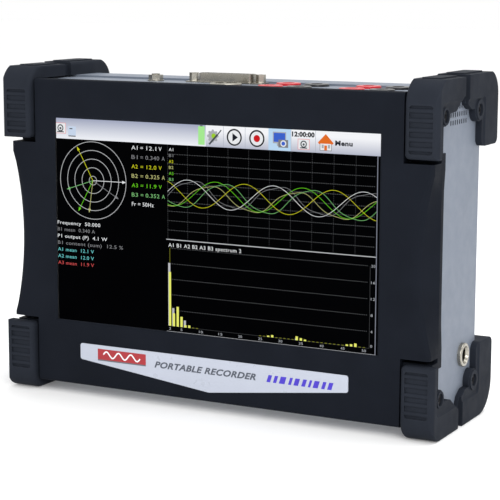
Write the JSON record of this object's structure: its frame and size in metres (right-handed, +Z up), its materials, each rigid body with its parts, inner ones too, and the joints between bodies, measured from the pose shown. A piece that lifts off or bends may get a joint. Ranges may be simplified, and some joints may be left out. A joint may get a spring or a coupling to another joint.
{
  "type": "portable multichannel recorder",
  "caption": "Portable electronic test instrument: wide touch screen, charcoal bezel, rubber corner bumpers, top connector panel, removable battery and rear tilt stand.",
  "frame": {"origin": "on the resting surface, under the centre of the overall box", "axes": "+X to the right seen from the front (long side), +Y from the screen to the back (depth), +Z up"},
  "size_m": [0.296, 0.097, 0.2094],
  "materials": {
    "bezel_plastic": "fine-grained charcoal moulded plastic",
    "bumper_rubber": "matt charcoal elastomer",
    "case_paint": "light blue-grey powder coat",
    "screen_glass": "clear touch glass over the picture",
    "display": "display module",
    "label_film": "silver-grey printed plate",
    "steel": "zinc-plated steel",
    "black_steel": "blackened screws",
    "nickel": "satin nickel plate",
    "brass": "brass contacts",
    "red_plastic": "red insulator",
    "black_plastic": "black insulator",
    "gasket_rubber": "soft seal",
    "circuit_board": "glass-epoxy board",
    "chip_plastic": "component bodies",
    "raw_aluminium": "extruded aluminium",
    "flex_film": "flexible printed cable",
    "pack_plastic": "moulded plastic",
    "cell_wrap": "shrink-wrapped cells",
    "legend_film": "blue-violet legend strip"
  },
  "bodies": {
    "instrument": {"front_bezel": "bezel_plastic", "bezel_screws": "steel", "touch_glass": "screen_glass", "screen_gasket": "gasket_rubber", "lcd_panel": "display", "display_bracket": "raw_aluminium", "bracket_screws": "steel", "label_plate": "label_film", "case_shell": "case_paint", "rear_cover": "case_paint", "rear_cover_screws": "black_steel", "cover_bosses": "raw_aluminium", "top_panel": "case_paint", "red_sockets": "red_plastic", "black_sockets": "black_plastic", "socket_contacts": "brass", "socket_nuts": "black_plastic", "power_button_ring": "nickel", "power_button_spring": "steel", "power_switch": "chip_plastic", "ground_terminal": "nickel", "ground_terminal_nut": "nickel", "d_sub_shell": "nickel", "d_sub_insulator": "black_plastic", "d_sub_jackscrews": "nickel", "legend_strip": "legend_film", "dc_inlet": "nickel", "dc_inlet_pin": "nickel", "dc_inlet_nut": "nickel", "bumper_top_right": "bumper_rubber", "bumper_top_left": "bumper_rubber", "bumper_bottom_right": "bumper_rubber", "bumper_bottom_left": "bumper_rubber", "bumper_screws": "black_steel", "bumper_nut_blocks": "raw_aluminium", "main_board": "circuit_board", "main_board_chips": "chip_plastic", "heat_sink": "raw_aluminium", "board_standoffs": "brass", "board_screws": "steel", "input_board": "circuit_board", "input_shields": "steel", "display_cable": "flex_film", "battery_bay": "pack_plastic", "battery_contacts": "brass", "stand_brackets": "pack_plastic", "stand_bracket_screws": "steel", "stand_pins": "steel"},
    "power_button": {"power_button_cap": "black_plastic"},
    "tilt_stand": {"tilt_stand": "pack_plastic"},
    "battery_pack": {"battery_case": "pack_plastic", "battery_cells": "cell_wrap", "battery_screws": "steel"}
  },
  "joints": [
    {"name": "power_button_press", "type": "slide", "parent": "instrument", "child": "power_button", "axis": [0, 0, -1], "range_m": [0, 0.002], "stiffness_N_per_m": 600, "springref_m": -0.002, "deforming": ["power_button_spring"]},
    {"name": "stand_hinge", "type": "hinge", "parent": "instrument", "child": "tilt_stand", "pos_m": [0, 0.038, 0.152], "axis": [1, 0, 0], "range_deg": [0, 35]},
    {"name": "battery_slide", "type": "slide", "parent": "instrument", "child": "battery_pack", "axis": [0, 1, 0], "range_m": [0, 0.03]}
  ]
}
